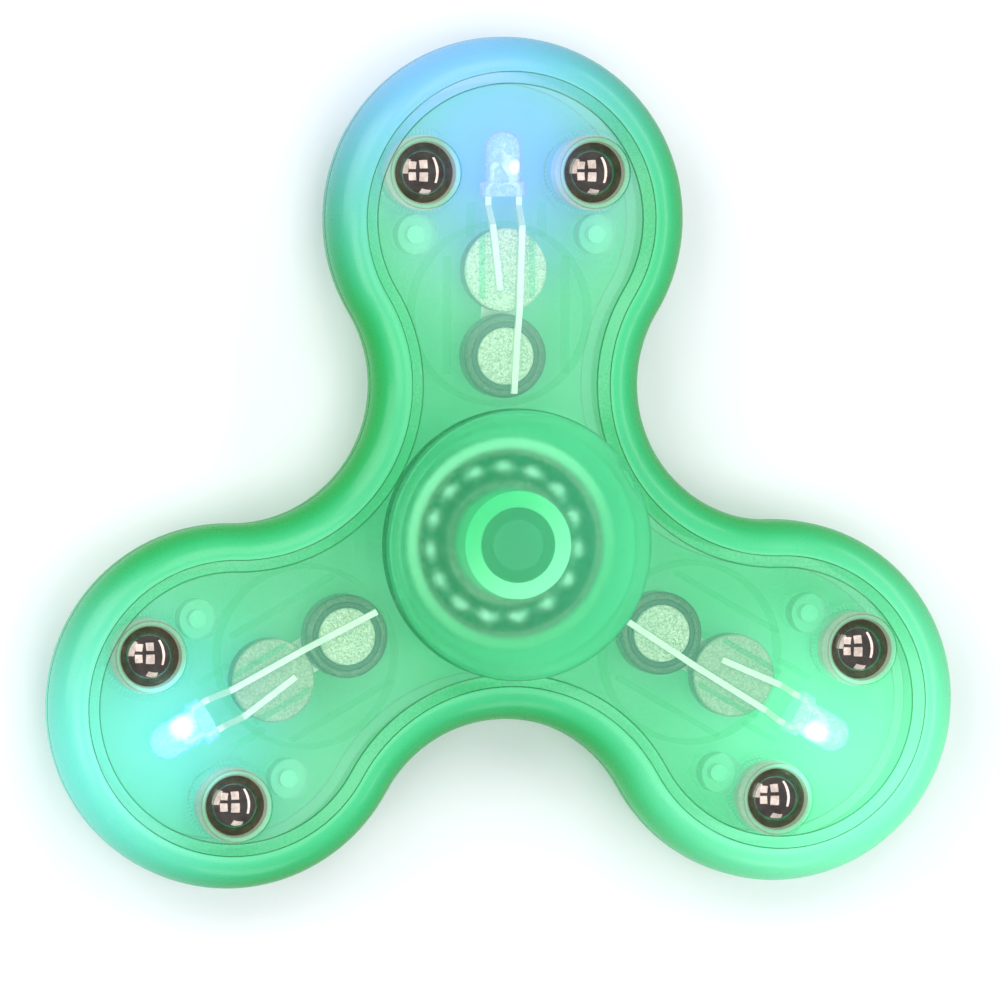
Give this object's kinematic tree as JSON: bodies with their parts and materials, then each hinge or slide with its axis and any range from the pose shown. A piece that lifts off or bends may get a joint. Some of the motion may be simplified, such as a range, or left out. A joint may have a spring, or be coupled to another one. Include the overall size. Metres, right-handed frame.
{
  "type": "fidget spinner",
  "caption": "Three-armed translucent hand spinner turning on a ball bearing between two finger caps, with a lamp, button cells and steel balls sealed in each arm.",
  "frame": {"origin": "centre of the back finger cap's flat outer face, on the spin axis", "axes": "+Z along the spin axis out of the front finger cap, +Y along arm 1, +X to the right of arm 1 seen from the front"},
  "size_m": [0.075, 0.0689, 0.0136],
  "materials": {
    "shell_plastic": "frosted translucent green",
    "cap_plastic": "frosted translucent green",
    "bearing_steel": "ground",
    "ball_steel": "polished",
    "lamp_blue": "clear epoxy, lit blue",
    "lamp_cyan": "clear epoxy, lit cyan",
    "lamp_green": "clear epoxy, lit pale green",
    "lamp_chip": "semiconductor chip",
    "lead_tin": "tinned steel",
    "cell_steel": "nickel plated, fine grain",
    "cell_gasket": "moulded nylon"
  },
  "bodies": {
    "finger_caps": {"front_cap": "cap_plastic", "back_cap": "cap_plastic", "bearing_inner_race": "bearing_steel"},
    "rotor": {"front_shell": "shell_plastic", "back_shell": "shell_plastic", "bearing_outer_race": "bearing_steel", "weight_ball_left_1": "ball_steel", "weight_ball_left_2": "ball_steel", "weight_ball_left_3": "ball_steel", "weight_ball_right_1": "ball_steel", "weight_ball_right_2": "ball_steel", "weight_ball_right_3": "ball_steel", "lamp_lens_1": "lamp_blue", "lamp_lens_2": "lamp_cyan", "lamp_lens_3": "lamp_green", "lamp_chip_1": "lamp_chip", "lamp_chip_2": "lamp_chip", "lamp_chip_3": "lamp_chip", "lamp_anode_lead_1": "lead_tin", "lamp_anode_lead_2": "lead_tin", "lamp_anode_lead_3": "lead_tin", "lamp_cathode_lead_1": "lead_tin", "lamp_cathode_lead_2": "lead_tin", "lamp_cathode_lead_3": "lead_tin", "outer_cell_can_1": "cell_steel", "outer_cell_can_2": "cell_steel", "outer_cell_can_3": "cell_steel", "outer_cell_gasket_1": "cell_gasket", "outer_cell_gasket_2": "cell_gasket", "outer_cell_gasket_3": "cell_gasket", "outer_cell_lid_1": "cell_steel", "outer_cell_lid_2": "cell_steel", "outer_cell_lid_3": "cell_steel", "inner_cell_can_1": "cell_steel", "inner_cell_can_2": "cell_steel", "inner_cell_can_3": "cell_steel", "inner_cell_gasket_1": "cell_gasket", "inner_cell_gasket_2": "cell_gasket", "inner_cell_gasket_3": "cell_gasket", "inner_cell_lid_1": "cell_steel", "inner_cell_lid_2": "cell_steel", "inner_cell_lid_3": "cell_steel", "contact_strip_1": "lead_tin", "contact_strip_2": "lead_tin", "contact_strip_3": "lead_tin"},
    "ball_set": {"bearing_balls": "ball_steel"}
  },
  "joints": [
    {"name": "rotor_spin", "type": "hinge", "parent": "finger_caps", "child": "rotor", "pos_m": [0, 0, 0.0068], "axis": [0, 0, 1], "continuous": true},
    {"name": "ball_orbit", "type": "hinge", "parent": "finger_caps", "child": "ball_set", "pos_m": [0, 0, 0.0068], "axis": [0, 0, 1], "continuous": true}
  ],
  "couplings": [
    {"joint": "ball_orbit", "follows": "rotor_spin", "ratio": 0.5992}
  ]
}
